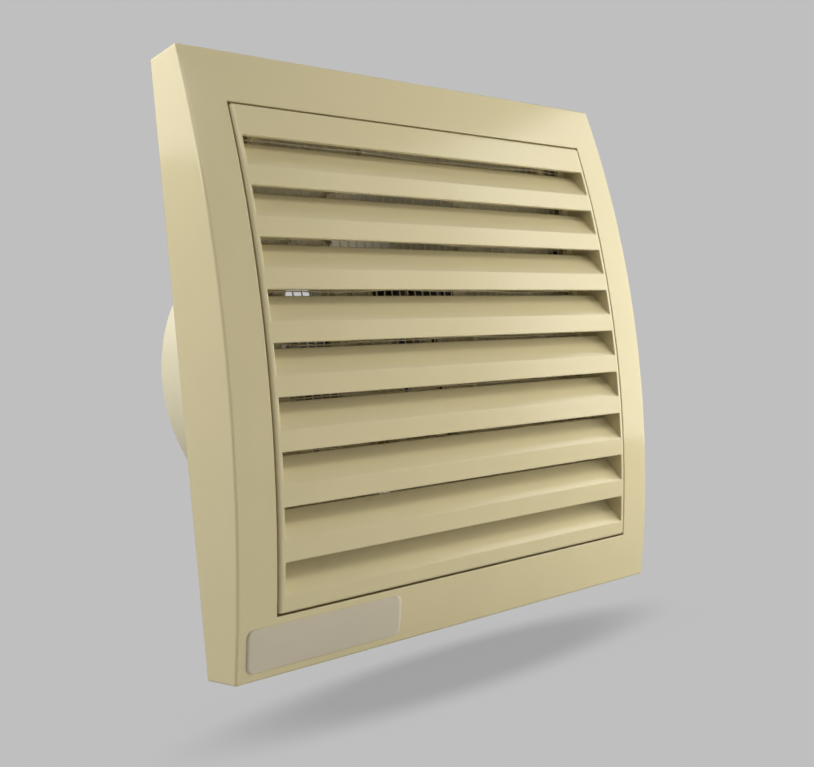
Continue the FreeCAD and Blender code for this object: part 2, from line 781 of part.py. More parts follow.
def build_stator():
    """C-shaped laminated stator with its coil bar, shading rings and coil."""
    wide, top, corner = size("stack_half_width"), size("stack_top"), size("stack_corner")
    inner = wide - size("leg_of_stack")
    floor = -size("core_drop")
    pole, notch = -size("pole_bottom"), size("pole_notch_width") / 2
    slot = stack_bore + size("pole_bridge")
    body = new_body("stator_core")
    right = [(inner, floor), (wide, floor), (wide, top - corner), (wide - corner, top),
             (notch, top), (notch, slot)]
    left = [(-across, up) for across, up in reversed(right)]
    pole_notch = [(-inner, pole), (-notch, pole), (-notch, -slot),
                  (notch, -slot), (notch, pole), (inner, pole)]
    pad(body, "XZ", stack_front, stack_rear, lambda p: p.outline(right + left + pole_notch))
    bar, loose = size("shading_bar"), size("shading_clearance")
    shading_side = inner - loose - bar / 2
    shading_places = [(shading_side, size("shading_height")),
                      (-shading_side, -size("shading_height"))]
    for places, radius in (([(zero, zero)], stack_bore),
                           (motor_screw_places, motor_screw_hole),
                           (shading_places, bar * 0.708 + loose)):
        cut(body, "XZ", stack_front - PAST, stack_rear + PAST, dots(places, radius))

    core_top = floor + size("core_height")
    core = new_body("coil_core")
    pad(core, "XZ", stack_front, stack_rear, lambda p: p.rectangle(-inner, inner, floor, core_top))

    # Closed copper loops, each through a hole of one pole and round its edge
    rings = new_body("shading_rings")
    loops = ((shading_side, size("shading_height") - bar / 2, top + bar),
             (-shading_side, pole - bar, -size("shading_height") + bar / 2))
    for side, low, high in loops:
        pad(rings, "YZ", side - bar / 2, side + bar / 2, lambda p: p.rectangle(
            stack_front - bar, stack_rear + bar, low, high).rectangle(
            stack_front, stack_rear, low + bar, high - bar))

    # Coil former and taped coil around the bar
    middle_y, middle_z = (stack_front + stack_rear) / 2, floor + size("core_height") / 2
    hole_y = size("stack_length") / 2 + size("bobbin_clearance")
    hole_z = size("core_height") / 2 + size("bobbin_clearance")
    tube_y, tube_z = hole_y + size("bobbin_wall"), hole_z + size("bobbin_wall")
    flange_y = tube_y + size("bobbin_flange_height")
    flange_z = tube_z + size("bobbin_flange_height")
    end = inner - size("bobbin_end_gap")
    inside = end - size("bobbin_flange")

    def block(half_y, half_z):
        return lambda p: p.rectangle(middle_y - half_y, middle_y + half_y,
                                     middle_z - half_z, middle_z + half_z)
    bobbin = new_body("coil_bobbin")
    pad(bobbin, "YZ", -end, end, block(tube_y, tube_z))
    pad(bobbin, "YZ", -end, -inside, block(flange_y, flange_z))
    pad(bobbin, "YZ", inside, end, block(flange_y, flange_z))
    cut(bobbin, "YZ", -end - PAST, end + PAST, block(hole_y, hole_z))
    winding = new_body("coil_winding")
    points, arcs = rounded(coil_half_y, flange_z - size("winding_drop"), size("winding_corner"),
                           middle_y, middle_z)
    pad(winding, "YZ", -inside, inside,
        lambda p: block(tube_y, tube_z)(p.outline(points, arcs)))


def build_bearing(name, near, far, bush_low, bush_high):
    """Bridge-shaped bearing bracket from the stack out to its bar, and its sintered bush."""
    body = new_body(f"{name}_bearing_bracket")
    outward = 1 if far.value > near.value else -1
    bar_inner = far - size("bracket_bar") * outward
    reach, half = size("bracket_half_length"), size("bracket_half_width")
    gap = reach - size("bracket_leg")
    pad(body, "XY", -half, half, lambda p: p.outline(
        [(-reach, far), (reach, far), (reach, near), (gap, near),
         (gap, bar_inner), (-gap, bar_inner), (-gap, near), (-reach, near)]))
    dress(body, "Fillet", size("bracket_round"),
          lambda edge: abs(abs(edge.CenterOfMass.x) - reach.value) < 1e-3
          and abs(abs(edge.CenterOfMass.z) - half.value) < 1e-3)
    pad(body, "XZ", bush_low, bush_high,
        lambda p: p.circle(zero, zero, size("bearing_boss_radius")))
    low, high = (near, far) if outward > 0 else (far, near)
    cut(body, "XZ", low - PAST, high + PAST, dots(motor_screw_places, motor_screw_hole))
    cut(body, "XZ", bush_low - PAST, bush_high + PAST,
        lambda p: p.circle(zero, zero, size("bush_radius")))
    bush = new_body(f"{name}_bearing_bush")
    bore = size("shaft_radius") + size("bush_clearance")
    turned(bush, "Revolution", ring(bore, size("bush_radius"), bush_low, bush_high))


def build_rotor():
    """Shaft, laminated rotor, cast end rings and thrust washers."""
    radius, bevel = size("shaft_radius"), size("shaft_chamfer")
    low, high = front_bush_front + bevel, impeller_rear - size("impeller_nose")
    shaft = new_body("motor_shaft")
    turned(shaft, "Revolution", [
        (zero, low), (radius - bevel, low), (radius, low + bevel),
        (radius, high - bevel), (radius - bevel, high), (zero, high)])
    core = new_body("rotor_core")
    turned(core, "Revolution", ring(radius, size("rotor_radius"), stack_front, stack_rear))
    rings = new_body("rotor_end_rings")
    ring_front = stack_front - size("end_ring_thickness")
    ring_rear = stack_rear + size("end_ring_thickness")
    turned(rings, "Revolution",
           ring(size("end_ring_bore"), size("end_ring_radius"), ring_front, stack_front),
           ring(size("end_ring_bore"), size("end_ring_radius"), stack_rear, ring_rear))
    washers = new_body("thrust_washers")
    turned(washers, "Revolution",
           ring(radius, size("washer_radius"), ring_front - size("washer_thickness"), stack_front),
           ring(radius, size("washer_radius"), stack_rear, ring_rear + size("washer_thickness")))


def blade_section(profile, axial, swing, thick):
    """Draw a cambered blade section, tangential across and axial up."""
    middle = (impeller_front + impeller_rear) / 2
    lead, trail = middle - axial / 2, middle + axial / 2
    bend = size("blade_camber_radius")
    return profile.outline(
        [(-swing / 2, lead - thick / 2), (swing / 2, trail - thick / 2),
         (swing / 2, trail + thick / 2), (-swing / 2, lead + thick / 2)],
        {0: (bend, 1), 2: (bend, -1)})


def build_impeller():
    """Cup-shaped hub with twisted, cambered blades, trimmed to run inside the duct."""
    body = new_body("impeller_blank")
    hub, nose = size("impeller_hub_radius"), size("impeller_nose")
    inner = hub - size("impeller_wall")
    boss, bore = size("impeller_boss_radius"), size("shaft_radius")
    inside_rear = impeller_rear - nose
    turned(body, "Revolution", [
        (zero, inside_rear), (bore, inside_rear), (bore, impeller_boss_front),
        (boss, impeller_boss_front), (boss, inside_rear), (inner, inside_rear),
        (inner, impeller_front), (hub, impeller_front), (hub, impeller_rear),
        (zero, impeller_rear)])
    dress(body, "Fillet", size("impeller_nose_round"),
          lambda edge: all_at(edge, "Y", impeller_rear))
    tip = duct_bore - size("tip_clearance")
    blade = body.newObject("PartDesign::AdditiveLoft", "impeller_blade")
    root_profile = blade_section(Profile(body, "XY", hub - size("impeller_wall") / 2),
                                 size("blade_root_axial"), size("blade_root_swing"),
                                 size("blade_root_thickness"))
    tip_profile = blade_section(Profile(body, "XY", tip + PAST), size("blade_tip_axial"),
                                size("blade_tip_swing"), size("blade_tip_thickness"))
    blade.Profile = root_profile.bind()
    blade.Sections = [tip_profile.bind()]
    blade.Ruled = True
    body.Tip = blade
    doc.recompute()
    around(body, [blade], count("blade_count"))
    envelope = doc.addObject("Part::Cylinder", "impeller_envelope")
    along_duct = FreeCAD.Rotation(FreeCAD.Vector(1, 0, 0), -QUARTER_TURN)
    envelope.Placement = FreeCAD.Placement(FreeCAD.Vector(), along_duct)
    envelope.setExpression("Placement.Base.y", (impeller_front - PAST).text)
    envelope.setExpression("Radius", tip.text)
    envelope.setExpression("Height", (size("impeller_depth") + 2 * PAST).text)
    trimmed = doc.addObject("Part::Common", "impeller")
    trimmed.Label = "impeller"
    trimmed.Base = body
    trimmed.Tool = envelope
    pieces.remove(body)
    pieces.append(trimmed)

    clip = new_body("impeller_clip")
    clip_front = impeller_boss_front + size("clip_set_back")
    turned(clip, "Revolution",
           ring(boss, boss + size("clip_wall"), clip_front, clip_front + size("clip_width")))


def build_screw(label, places, seat, head_radius, head_height, radius, end):
    """Pan-head screws along Y, with the head's underside at seat and the tip at end."""
    body = new_body(f"{label}_pattern")
    outward = -1 if end.value > seat.value else 1
    turned(body, "Revolution", [
        (zero, seat + head_height * outward), (head_radius, seat + head_height * outward),
        (head_radius, seat), (radius, seat), (radius, end), (zero, end)])
    group(label, body, places)


def build_motor_fasteners():
    """Through screws of the motor with their heads behind, and nuts in front of the hub."""
    nut_front = hub_front - size("motor_nut_height")
    build_screw("motor_screws", motor_screw_places, bracket_rear,
                size("motor_screw_head_radius"), size("motor_screw_head_height"),
                size("motor_screw_radius"), nut_front - size("motor_screw_end"))
    nut = new_body("motor_nuts_pattern")
    flats = size("motor_nut_flats")
    corner, half = flats / Dim.of(3).root(), flats / 2
    pad(nut, "XZ", nut_front, hub_front, lambda p: p.outline(
        [(corner, zero), (corner / 2, half), (-corner / 2, half),
         (-corner, zero), (-corner / 2, -half), (corner / 2, -half)]))
    cut(nut, "XZ", nut_front - PAST, hub_front + PAST,
        lambda p: p.circle(zero, zero, size("motor_screw_radius")))
    group("motor_nuts", nut, motor_screw_places)


def build_terminals():
    """Two-pole terminal block on the hub, with brass tubes and clamping screws."""
    half, low, high = size("terminal_half_width"), size("terminal_bottom"), terminal_top
    poles = (-size("terminal_pole_offset"), size("terminal_pole_offset"))
    body = new_body("terminal_block")
    pad(body, "XZ", terminal_front, hub_front, lambda p: p.rectangle(-half, half, low, high))
    well = size("terminal_screw_radius") + size("terminal_well_clearance")

    def bores(radius):
        return dots([(pole, terminal_axis) for pole in poles], radius)
    cut(body, "XY", low - PAST, high + PAST, bores(size("terminal_tube_radius")))
    cut(body, "XZ", terminal_front - PAST, terminal_axis, dots(terminal_screw_places, well))
    fixing_place = [(zero, terminal_middle)]
    seat = hub_front - size("fixing_seat")
    cut(body, "XZ", terminal_front - PAST, hub_front + PAST,
        dots(fixing_place, size("fixing_screw_radius") + size("screw_hole_clearance")))
    cut(body, "XZ", terminal_front - PAST, seat,
        dots(fixing_place, size("fixing_head_radius") + size("screw_hole_clearance")))

    tubes = new_body("terminal_tubes")
    inset = size("terminal_tube_inset")
    pad(tubes, "XY", low + inset, high - inset, bores(size("terminal_tube_radius")))
    cut(tubes, "XY", low, high, bores(size("terminal_tube_bore")))
    cut(tubes, "XZ", terminal_front, terminal_axis,
        dots(terminal_screw_places, size("terminal_screw_radius")))

    # Slotted grub screws that end on the wire
    screw = new_body("terminal_screws_pattern")
    screw_top = terminal_front + size("terminal_screw_sink")
    turned(screw, "Revolution",
           ring(zero, size("terminal_screw_radius"), screw_top,
                terminal_axis - size("wire_radius")))
    cut(screw, "XZ", screw_top, screw_top + size("terminal_slot_depth"),
        lambda p: p.frame(size("terminal_screw_radius") + PAST, size("terminal_slot_width") / 2))
    group("terminal_screws", screw, terminal_screw_places)
    build_screw("terminal_fixing_screw", fixing_place, seat, size("fixing_head_radius"),
                size("fixing_head_height"), size("fixing_screw_radius"),
                seat + size("fixing_screw_length"))


def build_lead_wires():
    """Leads from the coil through the hub, bent once, into the lower ends of the tubes."""
    radius, bend = size("wire_radius").value, size("wire_bend").value
    turn = math.sqrt(0.5) * bend
    for label, (across, up) in zip(("lead_wire_neutral", "lead_wire_live"), wire_places):
        x, low, front = across.value, up.value, terminal_axis.value
        high = (size("terminal_bottom") + size("terminal_tube_inset")
                + size("wire_insertion")).value
        start = FreeCAD.Vector(x, coil_front.value, low)
        bend_in = FreeCAD.Vector(x, front + bend, low)
        bend_mid = FreeCAD.Vector(x, front + bend - turn, low + bend - turn)
        bend_out = FreeCAD.Vector(x, front, low + bend)
        stop = FreeCAD.Vector(x, front, high)
        path = Part.Wire([Part.LineSegment(start, bend_in).toShape(),
                          Part.Arc(bend_in, bend_mid, bend_out).toShape(),
                          Part.LineSegment(bend_out, stop).toShape()])
        section = Part.Wire([Part.Circle(start, FreeCAD.Vector(0, -1, 0), radius).toShape()])
        wire = doc.addObject("Part::Feature", label)
        wire.Label = label
        wire.Shape = path.makePipeShell([section], True, False)
        share = wire.Shape.Volume / (math.pi * radius ** 2 * path.Length)
        print(f"{label}: bend radius {bend:.1f} mm, volume is {share:.4f} of section times length")
        pieces.append(wire)


def build_cable_entry():
    """Rubber grommet in the plate, and the cord grip saddle beside it."""
    grommet = new_body("cable_grommet_pattern")
    bore, neck, flange = (size("grommet_bore_radius"), size("grommet_neck_radius"),
                          size("grommet_flange_radius"))
    front = base_front - size("grommet_flange_thickness")
    turned(grommet, "Revolution", [(bore, front), (flange, front), (flange, base_front),
                                   (neck, base_front), (neck, zero), (bore, zero)])
    group("cable_grommet", grommet, [(entry_side, size("entry_height"))])

    thick, arch = size("clamp_thickness"), size("clamp_arch_half_width")
    reach = clamp_screw_offset + size("clamp_end_margin")
    top = ledge_rear + size("clamp_cover_gap") + thick
    middle, half = size("clamp_height"), size("clamp_half_width")
    step = arch + thick
    clamp = new_body("cable_clamp")
    side = [(reach, clamp_seat), (reach, clamp_seat - thick), (step, clamp_seat - thick),
            (step, top - thick)]
    under = [(arch, top), (arch, clamp_seat)]
    right = [(entry_side + across, depth) for across, depth in side]
    left = [(entry_side - across, depth) for across, depth in reversed(side)]
    inner_left = [(entry_side - across, depth) for across, depth in reversed(under)]
    inner_right = [(entry_side + across, depth) for across, depth in under]
    pad(clamp, "XY", middle - half, middle + half,
        lambda p: p.outline(right + left + inner_left + inner_right))
    cut(clamp, "XZ", top - thick - PAST, clamp_seat + PAST,
        dots(clamp_places, size("clamp_screw_radius") + size("screw_hole_clearance")))
    build_screw("cable_clamp_screws", clamp_places, clamp_seat - thick,
                size("clamp_head_radius"), size("clamp_head_height"),
                size("clamp_screw_radius"), -size("screw_floor"))


def build_all():
    """Build every sub-part."""
    build_base_plate()
    build_duct_spigot()
    build_motor_carrier()
    build_front_cover()
    build_screw("cover_screws", cover_screw_places, cover_screw_seat,
                size("cover_screw_head_radius"), size("cover_screw_head_height"),
                size("cover_screw_radius"), -size("screw_floor"))
    build_louvre_grille()
    build_net()
    build_stator()
    build_bearing("front", stack_front, hub_rear, front_bush_front, front_bush_rear)
    build_bearing("rear", stack_rear, bracket_rear, rear_bush_front, rear_bush_rear)
    build_rotor()
    build_impeller()
    build_motor_fasteners()
    build_terminals()
    build_lead_wires()
    build_cable_entry()
    doc.recompute()


def export_all():
    """Check every object and shape, then write one STEP file for each sub-part."""
    for item in doc.Objects:
        if "Invalid" in item.State or "Error" in item.State:
            raise RuntimeError(f"{item.Name} failed: {item.State}")
    for item in pieces:
        if item.Shape.isNull() or not item.Shape.isValid() or not item.Shape.Solids:
            raise RuntimeError(f"{item.Label} has no valid solid")
    os.makedirs("parts", exist_ok=True)
    for item in pieces:
        item.Shape.exportStep(os.path.join("parts", f"{item.Label}.step"))
        print(f"{item.Label}: {len(item.Shape.Solids)} solid(s), {item.Shape.Volume:.0f} mm3")


build_all()
export_all()
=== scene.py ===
"""Looks of a wall-mounted bathroom exhaust fan with a curved cover and a louvre grille."""

from __future__ import annotations

import json
import logging
from collections.abc import Sequence
from dataclasses import dataclass
from enum import Enum
from typing import Any

import bpy
import numpy as np
from mathutils import Matrix, Vector

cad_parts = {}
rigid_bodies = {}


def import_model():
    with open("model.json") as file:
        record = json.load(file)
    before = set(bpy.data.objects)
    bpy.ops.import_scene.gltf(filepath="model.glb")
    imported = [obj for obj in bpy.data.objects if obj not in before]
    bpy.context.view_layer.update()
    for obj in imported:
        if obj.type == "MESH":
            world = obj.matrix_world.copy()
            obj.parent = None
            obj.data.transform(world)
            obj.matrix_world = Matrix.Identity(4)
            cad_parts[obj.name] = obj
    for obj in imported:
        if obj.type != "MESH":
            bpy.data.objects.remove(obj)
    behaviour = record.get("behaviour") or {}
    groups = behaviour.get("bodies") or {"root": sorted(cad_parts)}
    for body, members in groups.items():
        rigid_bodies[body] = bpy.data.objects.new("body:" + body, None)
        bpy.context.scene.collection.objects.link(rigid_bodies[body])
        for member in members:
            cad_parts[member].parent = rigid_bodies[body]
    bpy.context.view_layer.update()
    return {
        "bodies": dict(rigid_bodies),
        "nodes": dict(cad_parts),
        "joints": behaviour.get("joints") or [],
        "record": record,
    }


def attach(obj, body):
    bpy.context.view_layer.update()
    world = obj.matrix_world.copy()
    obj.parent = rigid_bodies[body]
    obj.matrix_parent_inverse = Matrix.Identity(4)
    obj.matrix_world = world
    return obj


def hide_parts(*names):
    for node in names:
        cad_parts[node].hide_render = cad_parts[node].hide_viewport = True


LOG = logging.getLogger("exhaust_fan")
MM = 0.001
IMAGE_WIDTH, IMAGE_HEIGHT = 814, 767

Triple = tuple[float, float, float]
Rgba = tuple[float, float, float, float]

SRGB_KNEE, SRGB_SLOPE, SRGB_OFFSET, SRGB_POWER = 0.04045, 12.92, 0.055, 2.4
CLOUD_SCALE, CLOUD_DETAIL = 55.0, 4.0
CLOUD_LOW, CLOUD_HIGH = 0.3, 0.7
GLOSS_SPREAD = 0.12
GRAIN_DETAIL = 2.0
GRAIN_DEPTH = 0.0004
EDGE_SAMPLES = 6


class Body(Enum):
    """Bodies that the pieces made here ride on."""

    HOUSING = "housing"
    GRILLE = "grille"


class Grain(Enum):
    """Fine relief of a finish, as the scale of its noise along each axis."""

    MOULDED = (1800, 1800, 1800)
    BRUSHED = (300, 9000, 300)
    CAST = (1400, 1400, 1400)
    LAMINATED = (60, 4000, 60)
    TAPED = (420, 60, 60)
    WOVEN = (5200, 5200, 5200)


@dataclass(frozen=True)
class Finish:
    """One procedural finish: a base colour with slow variation, grain and gloss."""

    name: str
    colour: Triple
    roughness: float
    grain: Grain
    metallic: float = 0.0
    shade: float = 0.06
    relief: float = 0.02
    edge_radius: float = 0.0

    def linear(self, factor: float) -> Rgba:
        """Give the colour as linear light, times a factor.

        Args:
            factor: Factor on the light.

        Returns:
            Red, green, blue and a full alpha.
        """
        srgb = np.array(self.colour)
        curve = ((srgb + SRGB_OFFSET) / (1.0 + SRGB_OFFSET)) ** SRGB_POWER
        light = np.where(srgb <= SRGB_KNEE, srgb / SRGB_SLOPE, curve)
        red, green, blue = np.clip(light * factor, 0.0, 1.0)
        return (float(red), float(green), float(blue), 1.0)

    def material(self) -> bpy.types.Material:
        """Build the finish as a node material.

        Returns:
            The material, made once and then reused by name.
        """
        title = self.name + "_finish"
        known = bpy.data.materials.get(title)
        if known is not None:
            return known
        made = bpy.data.materials.new(title)
        made.use_nodes = True
        tree = made.node_tree
        surface = tree.nodes["Principled BSDF"]
        surface.inputs["Metallic"].default_value = self.metallic
        place = tree.nodes.new("ShaderNodeTexCoord").outputs["Object"]
        self.paint(tree, surface, place)
        self.emboss(tree, surface, place)
        return made

    def paint(self, tree: bpy.types.NodeTree, surface: bpy.types.Node,
              place: bpy.types.NodeSocket) -> None:
        """Colour the surface with cloudy variation and give its gloss a slight unevenness.

        Args:
            tree: Node tree of the material.
            surface: Principled shader to feed.
            place: Object coordinates.
        """
        cloud = tree.nodes.new("ShaderNodeTexNoise")
        cloud.inputs["Scale"].default_value = CLOUD_SCALE
        cloud.inputs["Detail"].default_value = CLOUD_DETAIL
        tree.links.new(place, cloud.inputs["Vector"])
        tint = tree.nodes.new("ShaderNodeValToRGB")
        tint.color_ramp.elements[0].position = CLOUD_LOW
        tint.color_ramp.elements[0].color = self.linear(1.0 - self.shade)
        tint.color_ramp.elements[1].position = CLOUD_HIGH
        tint.color_ramp.elements[1].color = self.linear(1.0 + self.shade)
        tree.links.new(cloud.outputs["Fac"], tint.inputs["Fac"])
        tree.links.new(tint.outputs["Color"], surface.inputs["Base Color"])
        gloss = tree.nodes.new("ShaderNodeMapRange")
        gloss.inputs["To Min"].default_value = self.roughness * (1.0 - GLOSS_SPREAD)
        gloss.inputs["To Max"].default_value = self.roughness * (1.0 + GLOSS_SPREAD)
        tree.links.new(cloud.outputs["Fac"], gloss.inputs["Value"])
        tree.links.new(gloss.outputs["Result"], surface.inputs["Roughness"])

    def emboss(self, tree: bpy.types.NodeTree, surface: bpy.types.Node,
               place: bpy.types.NodeSocket) -> None:
        """Give the surface the fine relief of its grain, on softened edges.

        Args:
            tree: Node tree of the material.
            surface: Principled shader to feed.
            place: Object coordinates.
        """
        stretch = tree.nodes.new("ShaderNodeMapping")
        tree.links.new(place, stretch.inputs["Vector"])
        stretch.inputs["Scale"].default_value = self.grain.value
        relief = tree.nodes.new("ShaderNodeTexNoise")
        relief.inputs["Scale"].default_value = 1.0
        relief.inputs["Detail"].default_value = GRAIN_DETAIL
        tree.links.new(stretch.outputs["Vector"], relief.inputs["Vector"])
        bump = tree.nodes.new("ShaderNodeBump")
        bump.inputs["Strength"].default_value = self.relief
        bump.inputs["Distance"].default_value = GRAIN_DEPTH
        tree.links.new(relief.outputs["Fac"], bump.inputs["Height"])
        if self.edge_radius > 0.0:
            edge = tree.nodes.new("ShaderNodeBevel")
            edge.samples = EDGE_SAMPLES
            edge.inputs["Radius"].default_value = self.edge_radius
            tree.links.new(edge.outputs["Normal"], bump.inputs["Normal"])
        tree.links.new(bump.outputs["Normal"], surface.inputs["Normal"])


CREAM = (0.873, 0.824, 0.668)
NET_FIBRE = Finish("net_fibre", (0.90, 0.85, 0.72), 0.50, Grain.WOVEN)
LABEL_FILM = Finish("label_film", (0.834, 0.800, 0.728), 0.30, Grain.MOULDED, shade=0.01,
                    relief=0.03)
# Finishes of the record's material slots, each with the name of its slot.
SLOT_FINISHES = (
    Finish("cover_plastic", CREAM, 0.12, Grain.MOULDED, shade=0.012, relief=0.03,
           edge_radius=0.0005),
    Finish("grille_plastic", CREAM, 0.16, Grain.MOULDED, shade=0.012, relief=0.03,
           edge_radius=0.0005),
    Finish("housing_plastic", (0.915, 0.883, 0.785), 0.44, Grain.MOULDED, shade=0.015,
           relief=0.05, edge_radius=0.0006),
    NET_FIBRE,
    Finish("impeller_plastic", (0.80, 0.76, 0.66), 0.42, Grain.MOULDED, shade=0.02, relief=0.06,
           edge_radius=0.0004),
    Finish("lamination_steel", (0.42, 0.41, 0.40), 0.42, Grain.LAMINATED, metallic=1.0,
           shade=0.12, relief=0.5),
    Finish("bright_steel", (0.72, 0.72, 0.71), 0.30, Grain.BRUSHED, metallic=1.0, relief=0.10),
    Finish("cast_metal", (0.66, 0.66, 0.66), 0.46, Grain.CAST, metallic=1.0, shade=0.08,
           relief=0.30, edge_radius=0.0004),
    Finish("copper", (0.78, 0.50, 0.36), 0.30, Grain.BRUSHED, metallic=1.0, relief=0.08),
    Finish("brass", (0.80, 0.67, 0.40), 0.28, Grain.BRUSHED, metallic=1.0, relief=0.08),
    Finish("bronze", (0.56, 0.42, 0.28), 0.48, Grain.CAST, metallic=1.0, shade=0.10,
           relief=0.25),
    Finish("coil_tape", (0.72, 0.56, 0.22), 0.40, Grain.TAPED, shade=0.10, relief=0.35),
    Finish("bobbin_plastic", (0.90, 0.88, 0.82), 0.42, Grain.MOULDED, shade=0.03),
    Finish("terminal_plastic", (0.13, 0.13, 0.13), 0.42, Grain.MOULDED, shade=0.08,
           edge_radius=0.0003),
    Finish("rubber", (0.12, 0.12, 0.12), 0.62, Grain.CAST, shade=0.15, relief=0.10),
    Finish("wire_brown", (0.36, 0.20, 0.11), 0.40, Grain.MOULDED),
    Finish("wire_blue", (0.13, 0.24, 0.52), 0.40, Grain.MOULDED),
    Finish("washer_plastic", (0.84, 0.82, 0.74), 0.44, Grain.MOULDED, shade=0.04),
)


def grid_faces(rows: int, columns: int, wrap: bool = False) -> np.ndarray:
    """Join the points of a grid, numbered row by row, into four-sided faces.

    Args:
        rows: Points along the first parameter.
        columns: Points along the second parameter.
        wrap: Whether the last column joins the first one.

    Returns:
        Faces as an array of four point numbers each.
    """
    across = columns if wrap else columns - 1
    row, column = np.meshgrid(np.arange(rows - 1), np.arange(across), indexing="ij")
    after = (column + 1) % columns
    return np.stack([row * columns + column, row * columns + after,
                     (row + 1) * columns + after, (row + 1) * columns + column],
                    axis=-1).reshape(-1, 4)


def make_piece(name: str, points: np.ndarray, faces: np.ndarray, finish: Finish, body: Body) -> bpy.types.Object:
    """Put a smooth surface into the scene as one piece of the object.

    Args:
        name: Name of the piece.
        points: Point coordinates in metres, one row each.
        faces: Faces of four point numbers each.
        finish: Finish of the piece.
        body: Body that the piece rides on.

    Returns:
        The new object.
    """
    mesh = bpy.data.meshes.new(name)
    mesh.from_pydata(points.tolist(), [], faces.tolist())
    mesh.polygons.foreach_set("use_smooth", np.full(len(faces), True))
    mesh.update()
    piece = bpy.data.objects.new(name, mesh)
    bpy.context.scene.collection.objects.link(piece)
    mesh.materials.append(finish.material())
    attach(piece, body.value)
    LOG.info("%s: %d faces", name, len(faces))
    return piece


@dataclass
class FrontArc:
    """Cylindrical front of the cover and the grille, curved over the height."""

    half: float = 75.0
    edge_depth: float = 12.0
    crown_depth: float = 21.5

    @property
    def radius(self) -> float:
        """Radius of the arc through both edges and the crown."""
        rise = self.crown_depth - self.edge_depth
        return (self.half ** 2 + rise ** 2) / (2 * rise)

    def depth(self, height: np.ndarray) -> np.ndarray:
        """Give y on the arc at a height, which is centre minus the root of r^2 - z^2.

        Args:
            height: Heights z in millimetres.

        Returns:
            Depths y in millimetres.
        """
        centre = self.radius - self.crown_depth
        return centre - np.sqrt(self.radius ** 2 - height ** 2)


@dataclass
class InsectNet:
    """Fine woven net on the back of the grille, stretched over its ring.

    The sway of a wire is a slow and a quick wave, each with a length along the wire and one
    across the wires, in millimetres per radian.
    """

    half_width: float = 61.9
    half_height: float = 58.9
    middle: float = -8.91
    pitch: float = 2.7
    wire_radius: float = 0.20
    wave: float = 0.12
    sway: float = 0.26
    slow_sway: tuple[float, float] = (13.0, 17.0)
    quick_sway: tuple[float, float] = (5.3, 7.0)
    quick_share: float = 0.6
    straight_end: float = 8.0
    sides: int = 5

    def wires(self, across: float, along: float, phase: float) -> tuple[np.ndarray, np.ndarray]:
        """Work out one direction of wires as wavy tubes.

        A wire's centre line sways slowly in the sheet and rises and falls by a cosine with the
        crossing wires; each point of it carries a small ring.

        Args:
            across: Half of the length over which the wires are spread.
            along: Half of a wire's length.
            phase: Phase of the weave, so that the two directions pass over and under.

        Returns:
            Points (spread, along, depth) and faces of all the wires.
        """
        count = int(2 * across / self.pitch)
        steps = int(2 * along / self.pitch) * 2 + 1
        place = (np.arange(count) - (count - 1) / 2) * self.pitch
        line = np.linspace(-along, along, steps)
        turn = np.linspace(0, 2 * np.pi, self.sides, endpoint=False)
        wire, step, angle = np.meshgrid(place, line, turn, indexing="ij")
        number = np.round(wire / self.pitch - 0.5)
        fade = np.clip((along - np.abs(step)) / self.straight_end, 0.0, 1.0)
        slow = np.sin(step / self.slow_sway[0] + wire / self.slow_sway[1] + phase)
        quick = np.sin(step / self.quick_sway[0] - wire / self.quick_sway[1])
        bend = self.sway * fade * (slow + self.quick_share * quick)
        rise = self.wave * np.cos(np.pi * (step / self.pitch + number) + phase * np.pi)
        points = np.stack([wire + bend + self.wire_radius * np.cos(angle), step,
                           rise + self.wire_radius * np.sin(angle)], axis=-1)
        one = grid_faces(steps, self.sides, wrap=True)
        size = steps * self.sides
        faces = (one[None, :, :] + (np.arange(count) * size)[:, None, None]).reshape(-1, 4)
        return points.reshape(-1, 3), faces

    def build(self) -> bpy.types.Object:
        """Build the net, upright and level wires together.

        Returns:
            The piece that stands for the net's plain sheet.
        """
        upright, upright_faces = self.wires(self.half_width, self.half_height, 0.0)
        level, level_faces = self.wires(self.half_height, self.half_width, 1.0)
        points = np.concatenate([upright[:, [0, 2, 1]], level[:, [1, 2, 0]]])
        points[:, 1] += self.middle
        faces = np.concatenate([upright_faces, level_faces[:, ::-1] + len(upright)])
        net = make_piece("net_weave", points * MM, faces[:, ::-1], NET_FIBRE, Body.GRILLE)
        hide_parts("insect_net")
        return net


